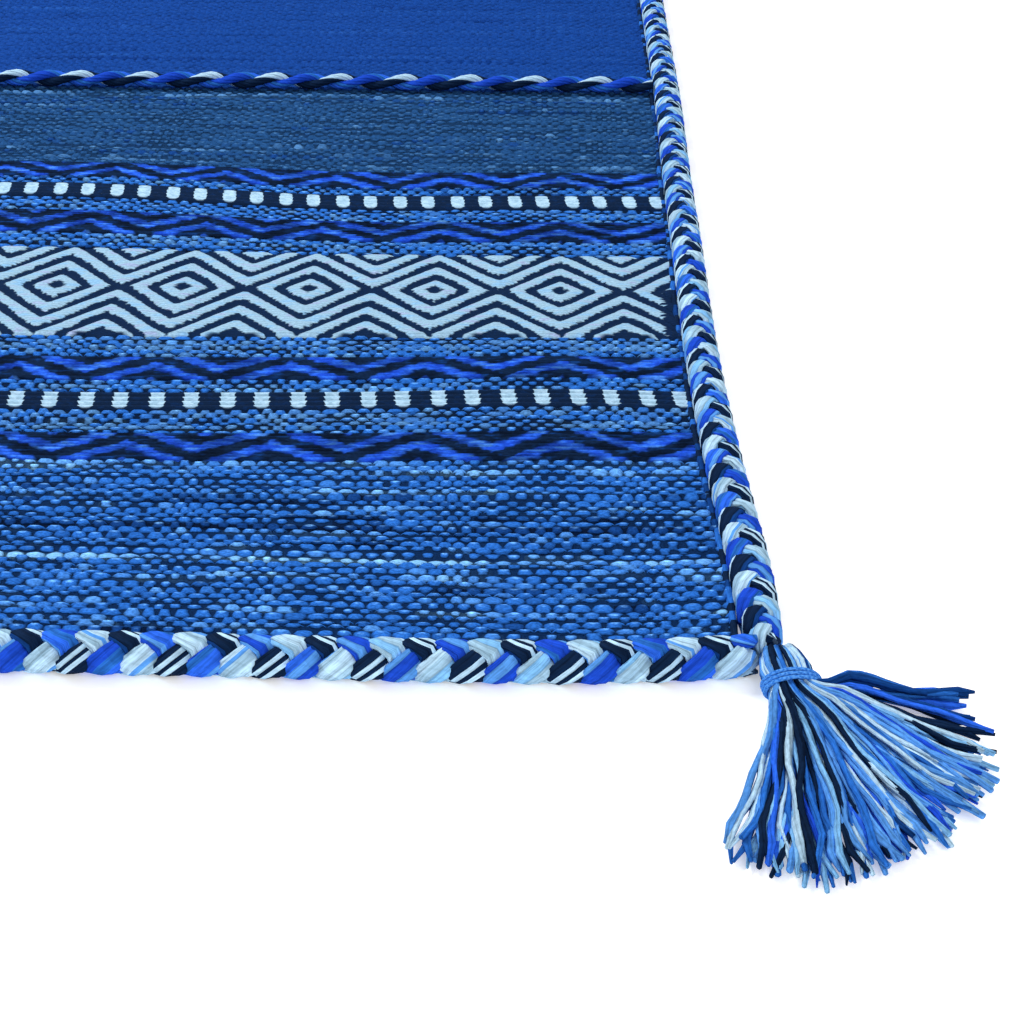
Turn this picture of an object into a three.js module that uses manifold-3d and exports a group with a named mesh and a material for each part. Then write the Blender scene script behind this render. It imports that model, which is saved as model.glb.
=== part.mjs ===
// A flat-woven cotton kilim lying on the floor: the cloth, a plaited edging on all four sides,
// a thick twisted cord across it near each end of the plain middle, and a tied tassel at each corner.
// Millimetres. X runs across the rug, Y along it, Z up. The photographed corner is the one at +X, -Y.

import * as THREE from "three";
import { mergeVertices } from "three/addons/utils/BufferGeometryUtils.js";
import Module from "manifold-3d";

const wasm = await Module();
wasm.setup();

// Driving dimensions
const RUG_WIDTH = 700;
const RUG_LENGTH = 1400;
const CLOTH_THICK = 4;
const GAP = 0.3;

// Plaited edging: three strands, so two rows of humps with a valley between them
const BRAID_WIDTH = 13.5;
const BRAID_HEIGHT = 11.3;
const BRAID_VALLEY = 8.8;
const BRAID_LOW_HUMP = 10;
const BRAID_FLANK = 5;
const BRAID_STEP = 14;

// Twisted cord: two plies laid round each other, pressed oval on the cloth
const CORD_WIDE = 5.8;
const CORD_NARROW = 3.9;
const CORD_PRESSED = 0.8;
const CORD_TURN = 32.9;
const CORD_SIDES = 6;
const CORD_STEPS_PER_TURN = 8;
const CORD_FROM_EDGE = 488.7;

// Tassel: a folded head, a neck drawn in by the tie, then the skirt spread on the floor
const HEAD_SECTIONS = [
  { along: 0.0, half: 5.6, low: 0.6, high: 8.6 },
  { along: 5.0, half: 7.4, low: 0.2, high: 9.4 },
  { along: 11.0, half: 7.6, low: 0.4, high: 9.6 },
  { along: 13.2, half: 6.2, low: 2.4, high: 9.2 },
  { along: 18.8, half: 6.2, low: 2.4, high: 9.2 },
  { along: 20.8, half: 8.6, low: 0.3, high: 9.8 },
  { along: 26.0, half: 12.4, low: 0.0, high: 8.8 },
  { along: 33.0, half: 16.4, low: 0.0, high: 6.6 },
];
const HEAD_SIDES = 10;
const LEAN_FROM = 18.8;
const LEAN_TO = 33;
const FAN_FROM = 12;
const FAN_HALF_ANGLE = 39;
const STRAND_SIDES = 3;
const STRAND_HALF = 1.05;
const STRAND_STEPS = 2;
const STRAND_ROOT = 17;
const STRAND_LAYERS = [
  { strands: 12, offset: 0.0, lift: 0.0, landed: 0.0, reach: 1.0 },
  { strands: 11, offset: 0.5, lift: 2.2, landed: 0.0, reach: 0.96 },
  { strands: 10, offset: 1.0, lift: 4.4, landed: 2.2, reach: 0.9 },
];
const LANDING_FROM = 42;
const TIE_WRAPS = 3;
const TIE_YARN = 1.7;
const TIE_SIDES = 14;
const TIE_ALONG = 16;

// How far each edge is drawn in from the straight line, as soft dips along it
const EDGE_PULLS = {
  right: [
    { at: -658, depth: -1.7, spread: 50 },
    { at: -493, depth: 3.8, spread: 120 },
    { at: -330, depth: 1.9, spread: 80 },
    { at: -120, depth: 1.0, spread: 140 },
    { at: 330, depth: 2.6, spread: 190 },
  ],
  left: [
    { at: -380, depth: 2.2, spread: 150 },
    { at: 60, depth: 3.2, spread: 200 },
    { at: 520, depth: 1.8, spread: 110 },
  ],
  front: [
    { at: 352, depth: 4.0, spread: 36 },
    { at: 272, depth: -2.2, spread: 90 },
    { at: -60, depth: 1.6, spread: 130 },
    { at: -352, depth: 3.0, spread: 50 },
  ],
  back: [
    { at: 348, depth: 2.6, spread: 60 },
    { at: 90, depth: -1.8, spread: 120 },
    { at: -240, depth: 1.5, spread: 90 },
    { at: -352, depth: 3.6, spread: 40 },
  ],
};

// Where each tassel hangs: the corner's signs, its head's direction, the skirt's lean from it, in degrees,
// and the skirt's lengths
const TASSELS = [
  { name: "front_right", x: 1, y: -1, heading: -82, lean: 13, short: 64, long: 81, seed: 1 },
  { name: "front_left", x: -1, y: -1, heading: -100, lean: -17, short: 65, long: 79, seed: 2 },
  { name: "back_right", x: 1, y: 1, heading: 79, lean: -15, short: 64, long: 80, seed: 3 },
  { name: "back_left", x: -1, y: 1, heading: 98, lean: 14, short: 63, long: 79, seed: 4 },
];
const TASSEL_INSET = 2.5;
const TASSEL_LAP = 9;

const HALF_WIDTH = RUG_WIDTH / 2;
const HALF_LENGTH = RUG_LENGTH / 2;
const SIDE_BRAID_HALF = HALF_LENGTH - TASSEL_LAP;

const COTTON = {
  cloth: new THREE.MeshStandardMaterial({ color: 0x2b62ad, roughness: 0.92, metalness: 0 }),
  braid: new THREE.MeshStandardMaterial({ color: 0x6fa4dd, roughness: 0.9, metalness: 0 }),
  cord: new THREE.MeshStandardMaterial({ color: 0x4a7fc8, roughness: 0.9, metalness: 0 }),
  tassel: new THREE.MeshStandardMaterial({ color: 0x3f83d6, roughness: 0.9, metalness: 0 }),
  tie: new THREE.MeshStandardMaterial({ color: 0x4f8fe0, roughness: 0.88, metalness: 0 }),
};

// The drawn-in amount of one edge at a place along it
function pull(side, place) {
  return EDGE_PULLS[side].reduce(
    (sum, dip) => sum + dip.depth * Math.exp(-(((place - dip.at) / dip.spread) ** 2)),
    0,
  );
}

// Moves a point of the straight rug to where the uneven rug has it
function lay(x, y, z) {
  const acrossShare = Math.min(1, Math.abs(x) / HALF_WIDTH) ** 2;
  const alongShare = Math.min(1, Math.abs(y) / HALF_LENGTH) ** 4;
  const sideways = pull(x > 0 ? "right" : "left", y) * acrossShare;
  const endways = pull(y > 0 ? "back" : "front", x) * alongShare;
  return new THREE.Vector3(x - Math.sign(x) * sideways, y - Math.sign(y) * endways, z);
}

// A repeatable number from -1 to 1 for each strand
function wobble(seed, index) {
  const value = Math.sin(seed * 127.1 + index * 311.7) * 43758.5453;
  return 2 * (value - Math.floor(value)) - 1;
}

// A closed bar with flat ends: place(along 0 to 1, angle, reach 0 to 1) gives each of its points
function bar(sides, steps, place) {
  const geometry = new THREE.CylinderGeometry(1, 1, 1, sides, steps);
  geometry.deleteAttribute("normal");
  geometry.deleteAttribute("uv");
  const merged = mergeVertices(geometry, 1e-4);
  const points = merged.getAttribute("position");
  for (let i = 0; i < points.count; i += 1) {
    const x = points.getX(i);
    const z = points.getZ(i);
    const placed = place(0.5 - points.getY(i), Math.atan2(x, z), Math.hypot(x, z) > 0.5 ? 1 : 0);
    points.setXYZ(i, placed.x, placed.y, placed.z);
  }
  return merged;
}

// The merged geometry as a solid that can be joined
function toSolid(geometry) {
  return new wasm.Manifold(
    new wasm.Mesh({
      numProp: 3,
      vertProperties: new Float32Array(geometry.getAttribute("position").array),
      triVerts: new Uint32Array(geometry.index.array),
    }),
  );
}

function toGeometry(solid) {
  const mesh = solid.getMesh();
  const geometry = new THREE.BufferGeometry();
  geometry.setAttribute("position", new THREE.BufferAttribute(mesh.vertProperties, 3));
  geometry.setIndex(new THREE.BufferAttribute(mesh.triVerts, 1));
  return geometry;
}

function piece(name, geometry, material) {
  const mesh = new THREE.Mesh(geometry, material);
  mesh.name = name;
  return mesh;
}

// The woven cloth, from edging to edging
function cloth() {
  const halfX = HALF_WIDTH - BRAID_WIDTH - GAP;
  const halfY = HALF_LENGTH - BRAID_WIDTH - GAP;
  const acrossSteps = 28;
  const alongSteps = 56;
  const outline = [];
  for (let i = 0; i < acrossSteps; i += 1) {
    outline.push(lay(-halfX + (2 * halfX * i) / acrossSteps, -halfY, 0));
  }
  for (let i = 0; i < alongSteps; i += 1) {
    outline.push(lay(halfX, -halfY + (2 * halfY * i) / alongSteps, 0));
  }
  for (let i = 0; i < acrossSteps; i += 1) {
    outline.push(lay(halfX - (2 * halfX * i) / acrossSteps, halfY, 0));
  }
  for (let i = 0; i < alongSteps; i += 1) {
    outline.push(lay(-halfX, halfY - (2 * halfY * i) / alongSteps, 0));
  }
  const shape = new THREE.Shape(outline.map((point) => new THREE.Vector2(point.x, point.y)));
  const geometry = new THREE.ExtrudeGeometry(shape, { depth: CLOTH_THICK, bevelEnabled: false });
  geometry.deleteAttribute("normal");
  geometry.deleteAttribute("uv");
  return piece("kilim_cloth", mergeVertices(geometry, 1e-4), COTTON.cloth);
}

// The plait's section: out is 0 at the cloth and 1 at the rug's rim. The humps take turns being high
function braidSection(step) {
  const outerHigh = step % 2 === 0 ? BRAID_HEIGHT : BRAID_LOW_HUMP;
  const innerHigh = step % 2 === 0 ? BRAID_LOW_HUMP : BRAID_HEIGHT;
  return [
    { out: 0.14, z: 0 },
    { out: 0.86, z: 0 },
    { out: 1.0, z: BRAID_FLANK },
    { out: 0.76, z: outerHigh },
    { out: 0.5, z: BRAID_VALLEY },
    { out: 0.24, z: innerHigh },
    { out: 0.0, z: BRAID_FLANK },
  ];
}

// An edging along one side. The long sides run on to the tassels' heads and the ends fit between them
function braid(side) {
  const along = side === "left" || side === "right";
  const sign = side === "right" || side === "back" ? 1 : -1;
  const half = along ? SIDE_BRAID_HALF : HALF_WIDTH - BRAID_WIDTH - 2 * GAP;
  const rim = along ? HALF_WIDTH : HALF_LENGTH;
  const steps = Math.round((2 * half) / BRAID_STEP);
  const turned = along ? sign > 0 : sign < 0;
  const sides = braidSection(0).length;
  const geometry = bar(sides, steps, (share, angle, reach) => {
    const section = braidSection(Math.round(share * steps));
    const index = Math.round(((angle + 2 * Math.PI) / (2 * Math.PI)) * sides) % sides;
    const spot = reach > 0 ? section[index] : { out: 0.5, z: BRAID_FLANK };
    const outward = sign * (rim - BRAID_WIDTH * (1 - spot.out));
    const place = (turned ? 1 : -1) * half * (2 * share - 1);
    return along ? lay(outward, place, spot.z) : lay(place, outward, spot.z);
  });
  return piece(`braid_${side}`, geometry, COTTON.braid);
}

// A two-ply cord across the cloth, resting on it
function cord(name, sign) {
  const half = HALF_WIDTH - BRAID_WIDTH - 2 * GAP;
  const steps = Math.round((2 * half * CORD_STEPS_PER_TURN) / CORD_TURN);
  const middle = sign * (HALF_LENGTH - CORD_FROM_EDGE);
  const rest = CLOTH_THICK + GAP;
  const centre = rest + CORD_NARROW * CORD_PRESSED;
  const geometry = bar(CORD_SIDES, steps, (share, angle, reach) => {
    const x = half * (2 * share - 1);
    const turn = (2 * Math.PI * (x + half)) / CORD_TURN;
    const wide = reach * CORD_WIDE * Math.sin(angle);
    const narrow = reach * CORD_NARROW * Math.cos(angle);
    const side = wide * Math.cos(turn) - narrow * Math.sin(turn);
    const up = (wide * Math.sin(turn) + narrow * Math.cos(turn)) * CORD_PRESSED;
    return lay(x, middle + side, Math.max(rest, centre + up));
  });
  return piece(name, geometry, COTTON.cord);
}

// The tassel's head and the root of its skirt, in the tassel's own frame: the head lies along +X, and
// past the neck the root swings over to the skirt's lean
function tasselHead(row) {
  return bar(HEAD_SIDES, HEAD_SECTIONS.length - 1, (share, angle, reach) => {
    const section = HEAD_SECTIONS[Math.round(share * (HEAD_SECTIONS.length - 1))];
    const middle = (section.high + section.low) / 2;
    const tall = (section.high - section.low) / 2;
    const swung = THREE.MathUtils.clamp((section.along - LEAN_FROM) / (LEAN_TO - LEAN_FROM), 0, 1);
    const lean = THREE.MathUtils.degToRad(row.lean * swung);
    const out = section.along - FAN_FROM;
    const across = reach * section.half * Math.sin(angle);
    return new THREE.Vector3(
      FAN_FROM + out * Math.cos(lean) - across * Math.sin(lean),
      out * Math.sin(lean) + across * Math.cos(lean),
      middle + reach * tall * Math.cos(angle),
    );
  });
}

// One yarn of the skirt, flat side down, coming down to its resting level as it runs out
function skirtStrand(layer, index, row) {
  const share = (index + 0.5) / layer.strands;
  const slack = wobble(row.seed, index + 20 * layer.lift);
  const bearing = row.lean + (2 * share - 1) * FAN_HALF_ANGLE;
  const heading = THREE.MathUtils.degToRad(bearing);
  const middle = 1 - Math.abs(2 * share - 1.1);
  const reach = (row.short + (row.long - row.short) * middle) * layer.reach + 2.5 * slack;
  const root = STRAND_ROOT + 2 * layer.offset;
  return bar(STRAND_SIDES, STRAND_STEPS, (along, angle, width) => {
    const distance = root + (reach - root) * along;
    const landing = THREE.MathUtils.smoothstep(distance, LANDING_FROM, reach - 4);
    const floor = layer.lift + (layer.landed - layer.lift) * landing;
    const thick = STRAND_HALF * (width > 0 ? 1 : 0);
    const across = thick * Math.sin(angle);
    const up = STRAND_HALF * 0.5 + thick * Math.cos(angle);
    return new THREE.Vector3(
      FAN_FROM + distance * Math.cos(heading) - across * Math.sin(heading),
      distance * Math.sin(heading) + across * Math.cos(heading),
      floor + up,
    );
  });
}

// Places a tassel's piece at its corner, where the head's slanting root just clears the edging's end
function hang(mesh, row) {
  const corner = lay(row.x * (HALF_WIDTH - TASSEL_INSET), row.y * SIDE_BRAID_HALF, 0);
  const heading = THREE.MathUtils.degToRad(row.heading);
  const seat = HEAD_SECTIONS[0].half * Math.abs(Math.cos(heading)) + GAP;
  mesh.position.set(corner.x, corner.y + row.y * seat, 0);
  mesh.rotation.z = heading;
  return mesh;
}

function tassel(row) {
  let solid = toSolid(tasselHead(row));
  for (const layer of STRAND_LAYERS) {
    for (let i = 0; i < layer.strands; i += 1) {
      solid = solid.add(toSolid(skirtStrand(layer, i, row)));
    }
  }
  return hang(piece(`tassel_${row.name}`, toGeometry(solid), COTTON.tassel), row);
}

// The wraps of yarn that draw the tassel's neck in
function tie(row) {
  const neck = HEAD_SECTIONS[3];
  const inner = neck.half / Math.cos(Math.PI / TIE_SIDES) + GAP;
  const band = TIE_WRAPS * TIE_YARN;
  const profile = [new THREE.Vector2(inner, -band / 2)];
  for (let wrap = 0; wrap < TIE_WRAPS; wrap += 1) {
    const start = -band / 2 + wrap * TIE_YARN;
    if (wrap > 0) {
      profile.push(new THREE.Vector2(inner + 0.5 * TIE_YARN, start));
    }
    profile.push(new THREE.Vector2(inner + TIE_YARN, start + 0.5 * TIE_YARN));
  }
  profile.push(new THREE.Vector2(inner, band / 2));
  profile.push(profile[0].clone());
  const geometry = new THREE.LatheGeometry(profile, TIE_SIDES);
  geometry.deleteAttribute("normal");
  geometry.deleteAttribute("uv");
  const tall = (neck.high - neck.low) / 2 / neck.half;
  geometry.rotateZ(-Math.PI / 2);
  geometry.scale(1, 1, (tall * neck.half + GAP) / (neck.half + GAP));
  geometry.translate(TIE_ALONG, 0, (neck.high + neck.low) / 2);
  return hang(piece(`tassel_tie_${row.name}`, mergeVertices(geometry, 1e-4), COTTON.tie), row);
}

const kilim = new THREE.Group();
kilim.add(cloth());
for (const side of ["front", "right", "back", "left"]) {
  kilim.add(braid(side));
}
kilim.add(cord("cord_front", -1));
kilim.add(cord("cord_back", 1));
for (const row of TASSELS) {
  kilim.add(tassel(row));
  kilim.add(tie(row));
}

// The origin is under the middle of everything, on the floor
kilim.updateMatrixWorld(true);
const middle = new THREE.Box3().setFromObject(kilim, true).getCenter(new THREE.Vector3());
kilim.position.set(-middle.x, -middle.y, 0);

export default kilim;
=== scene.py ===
from functools import partial

import bpy
import numpy as np
from mathutils import Matrix, Vector


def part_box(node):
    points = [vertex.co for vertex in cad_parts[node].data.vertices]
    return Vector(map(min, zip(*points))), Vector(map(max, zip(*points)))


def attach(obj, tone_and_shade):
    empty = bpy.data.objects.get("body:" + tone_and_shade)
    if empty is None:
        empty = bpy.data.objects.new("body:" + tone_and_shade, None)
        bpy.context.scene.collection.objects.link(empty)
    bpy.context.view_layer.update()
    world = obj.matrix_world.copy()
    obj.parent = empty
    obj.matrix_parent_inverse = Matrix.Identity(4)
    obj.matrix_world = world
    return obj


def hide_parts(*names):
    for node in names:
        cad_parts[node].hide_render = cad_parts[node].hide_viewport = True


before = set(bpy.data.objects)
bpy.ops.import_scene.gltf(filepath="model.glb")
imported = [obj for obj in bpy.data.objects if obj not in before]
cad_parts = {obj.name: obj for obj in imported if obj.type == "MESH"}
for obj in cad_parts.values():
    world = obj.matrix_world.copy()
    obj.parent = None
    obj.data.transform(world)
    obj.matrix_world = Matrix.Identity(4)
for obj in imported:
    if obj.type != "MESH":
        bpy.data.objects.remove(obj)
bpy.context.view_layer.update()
MM = 0.001
print("frame nodes:", len(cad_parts))

# %% [markdown]
# The rug is first thought of as a straight rectangle, in millimetres, with its middle at zero. A real one
# is drawn in unevenly along its edges, so one function lays a straight point where the uneven rug has it.
# Every piece uses it, and that keeps the weave, the edging and the cords together.
# %% Size the rug and lay it unevenly
HALF_WIDTH = 350.0
HALF_LENGTH = 700.0
EDGING = 13.5
GAP = 0.3
CLOTH_HALF_WIDTH = HALF_WIDTH - EDGING - GAP
CLOTH_HALF_LENGTH = HALF_LENGTH - EDGING - GAP
EDGE_DIPS = {
    "right": ((-658, -1.7, 50), (-493, 3.8, 120), (-330, 1.9, 80), (-120, 1.0, 140), (330, 2.6, 190)),
    "left": ((-380, 2.2, 150), (60, 3.2, 200), (520, 1.8, 110)),
    "front": ((352, 4.0, 36), (272, -2.2, 90), (-60, 1.6, 130), (-352, 3.0, 50)),
    "back": ((348, 2.6, 60), (90, -1.8, 120), (-240, 1.5, 90), (-352, 3.6, 40)),
}


def drawn_in(side, place):
    return sum(depth * np.exp(-(((place - at) / spread) ** 2)) for at, depth, spread in EDGE_DIPS[side])


def lay(x, y):
    """Where the uneven rug has the straight rug's point, before the frame's own shift."""
    near_side = np.minimum(1, np.abs(x) / HALF_WIDTH) ** 2
    near_end = np.minimum(1, np.abs(y) / HALF_LENGTH) ** 4
    sideways = np.where(x > 0, drawn_in("right", y), drawn_in("left", y)) * near_side
    endways = np.where(y > 0, drawn_in("back", x), drawn_in("front", x)) * near_end
    return x - np.sign(x) * sideways, y - np.sign(y) * endways


side_places = np.linspace(-CLOTH_HALF_LENGTH, CLOTH_HALF_LENGTH, 57)
end_places = np.linspace(-CLOTH_HALF_WIDTH, CLOTH_HALF_WIDTH, 29)
leftmost = lay(np.full(57, -CLOTH_HALF_WIDTH), side_places)[0].min()
nearest = lay(end_places, np.full(29, -CLOTH_HALF_LENGTH))[1].min()
cloth_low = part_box("kilim_cloth")[0]
SHIFT = (cloth_low.x / MM - leftmost, cloth_low.y / MM - nearest)
print("frame shift in mm:", [round(s, 3) for s in SHIFT])

# %% [markdown]
# The camera stands low over the near right corner, as a photographer kneeling at the rug would, and looks
# down at it. The field is plain white and the light is one soft box over a white room, so that the yarns
# keep their own colours and each bead of the weave still has a lit top and a shaded side.
# %% Camera, light and floor
CAMERA_PLACE = (274.9, -1143.7, 331.6)
CAMERA_DOWN = 31.6
CAMERA_LEFT = 0.44
CAMERA_ROLL = 0.51
LENS = 68.17
camera_data = bpy.data.cameras.new("camera")
camera_data.lens = LENS
camera_data.clip_start = 0.01
camera = bpy.data.objects.new("camera", camera_data)
bpy.context.scene.collection.objects.link(camera)
turn = (
    Matrix.Rotation(np.radians(CAMERA_LEFT), 4, "Z")
    @ Matrix.Rotation(np.radians(90 - CAMERA_DOWN), 4, "X")
    @ Matrix.Rotation(np.radians(CAMERA_ROLL), 4, "Z")
)
camera.matrix_world = Matrix.Translation(Vector(CAMERA_PLACE) * MM + Vector((*SHIFT, 0)) * MM) @ turn
bpy.context.scene.camera = camera


def set_inputs(node, values):
    for name, value in values.items():
        node.inputs[name].default_value = value


def soft_box(name, place, aim, size, power):
    light = bpy.data.lights.new(name, "AREA")
    light.shape = "DISK"
    light.size = size
    light.energy = power
    lamp = bpy.data.objects.new(name, light)
    bpy.context.scene.collection.objects.link(lamp)
    lamp.location = place
    lamp.rotation_euler = (Vector(aim) - Vector(place)).to_track_quat("-Z", "Y").to_euler()


soft_box("key_light", (-0.9, 0.3, 1.6), (0.2, -0.5, 0), 0.8, 34)
soft_box("front_light", (0.9, -1.9, 1.3), (0.2, -0.5, 0), 1.2, 13)
world = bpy.data.worlds.new("white_room")
bpy.context.scene.world = world
world.use_nodes = True
set_inputs(world.node_tree.nodes["Background"], {"Color": (1, 1, 1, 1), "Strength": 0.68})
bpy.context.scene.view_settings.view_transform = "Standard"

bpy.ops.object.select_all(action="DESELECT")
bpy.ops.mesh.primitive_plane_add(size=8, location=(0, 0, -0.0004))
floor = bpy.context.object
floor.name = "floor"
floor.data.transform(floor.matrix_world)
floor.matrix_world = Matrix.Identity(4)
paper = bpy.data.materials.new("white_paper")
paper.use_nodes = True
paper_look = {"Base Color": (0.9, 0.9, 0.9, 1), "Roughness": 0.9}
glow = {"Emission Color": (1, 1, 1, 1), "Emission Strength": 0.35}
set_inputs(paper.node_tree.nodes["Principled BSDF"], {**paper_look, **glow})
floor.data.materials.append(paper)

# %% [markdown]
# Shader maths reads best as plain arithmetic. This small class wraps one socket, and each operator on it
# adds a Math node. Its join method makes any other node: the settings are set first, then the sockets.
# %% Shader arithmetic


def operation(kind):
    """A method that adds one Math node of that kind."""
    return lambda self, *others: self.math(kind, self, *others)


class Wire:
    """One socket of a node tree, used in plain arithmetic."""

    def __init__(self, socket):
        self.socket = socket
        self.tree = socket.id_data

    @staticmethod
    def join(tree, kind, settings=None, inputs=None, out=0):
        node = tree.nodes.new("ShaderNode" + kind)
        for name, value in (settings or {}).items():
            setattr(node, name, value)
        for name, value in (inputs or {}).items():
            if isinstance(value, Wire):
                tree.links.new(value.socket, node.inputs[name])
            else:
                node.inputs[name].default_value = value
        return Wire(node.outputs[out])

    def math(self, kind, first, second=0.0):
        return Wire.join(self.tree, "Math", {"operation": kind}, {0: first, 1: second})

    __add__ = __radd__ = operation("ADD")
    __sub__ = operation("SUBTRACT")
    __mul__ = __rmul__ = operation("MULTIPLY")
    __truediv__ = operation("DIVIDE")
    __mod__ = operation("FLOORED_MODULO")
    __pow__ = operation("POWER")
    __abs__ = operation("ABSOLUTE")
    floor = operation("FLOOR")
    cosine = operation("COSINE")
    greatest = operation("MAXIMUM")
    least = operation("MINIMUM")

    def __rsub__(self, other):
        return self.math("SUBTRACT", other, self)

    def off_middle(self):
        """How far the part after the point is from a half."""
        return abs(self % 1 - 0.5)

    def between(self, low, high, to_low=0.0, to_high=1.0):
        settings = {"interpolation_type": "SMOOTHSTEP"}
        inputs = {"Value": self, "From Min": low, "From Max": high, "To Min": to_low, "To Max": to_high}
        return Wire.join(self.tree, "MapRange", settings, inputs)


def new_finish(name, sheen=0.0):
    """A cotton material and its shader."""
    material = bpy.data.materials.new(name)
    material.use_nodes = True
    shader = material.node_tree.nodes["Principled BSDF"]
    set_inputs(shader, {"Roughness": 0.85, "Specular IOR Level": 0.03})
    set_inputs(shader, {"Sheen Weight": sheen, "Sheen Roughness": 0.5})
    return material, shader


def read_map(shader, name="threads"):
    """A map, and its two places one by one."""
    place = Wire.join(shader.id_data, "UVMap", {"uv_map": name})
    across = Wire.join(shader.id_data, "SeparateXYZ", inputs={"Vector": place})
    return place, across, Wire(across.socket.node.outputs[1])


def read_dye(shader):
    return Wire.join(shader.id_data, "Attribute", {"attribute_name": "dye"})


def plug(wire, shader, socket):
    wire.tree.links.new(wire.socket, shader.inputs[socket])


def shaded(colour, amount):
    """The colour times a grey amount, through a Vector Math node."""
    return Wire.join(amount.tree, "VectorMath", {"operation": "SCALE"}, {0: colour, "Scale": amount})


# %% [markdown]
# Yarn colours. The rug has few: an ice blue, a near black with a blue cast, a royal, a cobalt, a mid and
# a sky blue. They are written as the usual screen hex values and turned to the linear light Blender uses.
# %% The dye pots


def linear(hex_colour):
    channels = np.array([int(hex_colour[i : i + 2], 16) for i in (0, 2, 4)]) / 255
    return np.where(channels <= 0.04045, channels / 12.92, ((channels + 0.055) / 1.055) ** 2.4)


DYES = {
    name: linear(value)
    for name, value in {
        "ice": "9cc2dc",
        "white": "b4d8f2",
        "lilac": "a3afdc",
        "black": "0d2240",
        "royal": "1c4ac8",
        "cobalt": "2c68e8",
        "mid": "2869c3",
        "sky": "5596e4",
        "aqua": "7fbcf0",
        "navy": "103c7d",
        "steel": "4b7db4",
        "field": "123e8a",
        "deep_field": "0b3278",
        "light_field": "1b4a98",
        "dusk": "1e487a",
    }.items()
}
print("dyes:", ", ".join(DYES))

# %% [markdown]
# Cloth and yarn have far too many cells to model by hand, so their meshes are made from arrays: points,
# faces, one dye for each face, and a map that counts threads. A heap collects the parts of one piece.
# The dye is stored on face corners, so two yarns that meet keep a crisp border.
# %% Turn arrays into pieces


class Heap:
    """Points, faces, dyes and maps of one piece, gathered part by part."""

    def __init__(self, bake_span=(0.0, 1.0)):
        self.bake_span = bake_span
        self.points, self.thread_map, self.bake_map = [], [], []
        self.loops, self.sizes, self.dyes, self.finishes, self.smooth = [], [], [], [], []
        self.rims = []
        self.corner_maps = []
        self.count = 0

    def add_points(self, points, thread_map, bake_map):
        first = self.count
        self.points.append(points)
        self.thread_map.append(thread_map)
        self.bake_map.append(bake_map)
        self.count += len(points)
        return first

    def add_faces(self, faces, dyes, finish=0, smooth=True, corner_maps=None):
        """corner_maps gives both maps for each corner, where a tube's seam needs its own."""
        faces = np.asarray(faces)
        self.loops.append(faces.ravel())
        if corner_maps is not None:
            start = sum(len(part) for part in self.loops[:-1])
            self.corner_maps.append((start, *corner_maps))
        self.sizes.append(np.full(len(faces), faces.shape[1]))
        self.dyes.append(np.broadcast_to(dyes, (len(faces), 3)))
        self.finishes.append(np.full(len(faces), finish))
        self.smooth.append(np.full(len(faces), smooth))

    def piece(self, name, finishes, nodes):
        """The finished object, riding on the frame in place of its plain solids."""
        points = np.concatenate(self.points) * MM
        points[:, :2] += np.array(SHIFT) * MM
        loops = np.concatenate(self.loops)
        sizes = np.concatenate(self.sizes)
        mesh = bpy.data.meshes.new(name)
        mesh.vertices.add(len(points))
        mesh.vertices.foreach_set("co", points.astype(np.float32).ravel())
        mesh.loops.add(len(loops))
        mesh.loops.foreach_set("vertex_index", loops.astype(np.int32))
        mesh.polygons.add(len(sizes))
        mesh.polygons.foreach_set("loop_start", (np.cumsum(sizes) - sizes).astype(np.int32))
        mesh.update(calc_edges=True)
        mesh.polygons.foreach_set("material_index", np.concatenate(self.finishes).astype(np.int32))
        mesh.polygons.foreach_set("use_smooth", np.concatenate(self.smooth))
        if self.rims:
            on_rim = np.zeros(len(points), bool)
            on_rim[np.concatenate(self.rims)] = True
            ends = np.empty(len(mesh.edges) * 2, np.int32)
            mesh.edges.foreach_get("vertices", ends)
            sharp = mesh.attributes.new("sharp_edge", "BOOLEAN", "EDGE")
            sharp.data.foreach_set("value", on_rim[ends.reshape(-1, 2)].all(1))
        for which, map_name, parts in ((1, "threads", self.thread_map), (2, "OFBake", self.bake_map)):
            corners = np.concatenate(parts)[loops]
            for own in self.corner_maps:
                corners[own[0] : own[0] + len(own[which])] = own[which]
            layer = mesh.uv_layers.new(name=map_name)
            layer.uv.foreach_set("vector", corners.astype(np.float32).ravel())
        dye = mesh.attributes.new("dye", "FLOAT_COLOR", "CORNER")
        colours = np.ones((len(loops), 4), np.float32)
        colours[:, :3] = np.repeat(np.concatenate(self.dyes), sizes, axis=0)
        dye.data.foreach_set("color", colours.ravel())
        mesh.validate()
        made = bpy.data.objects.new(name, mesh)
        bpy.context.scene.collection.objects.link(made)
        for finish in finishes:
            mesh.materials.append(finish)
        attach(made, "root")
        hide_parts(*nodes)
        print(f"{name}: {len(points)} points, {int((sizes - 2).sum())} triangles")
        return made


# %% [markdown]
# Plain weave. The thick weft yarn hides the warp: it shows as rows of beads, each where the yarn rises
# over a warp pair, and every second row is moved on by half a bead. One bead is a small hipped roof on a
# six-sided foot, eight triangles, and the feet of all the beads share their points. That gives real
# height at a low cost, and the material rounds each bead off with a bump, painted shade and a painted
# highlight.
# %% Weave the beads
BEAD_COLUMNS = 240
BEAD_HALF = 2 * CLOTH_HALF_WIDTH / BEAD_COLUMNS
PICK = 3.1
BEAD_OVERLAP = 0.5
BEAD_FOOT = 2.9
BEAD_TOP = 4.3
# Half a bead's ridge, as a share of half a bead
RIDGE_HALF = 0.42
chance = np.random.default_rng(7)


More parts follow.
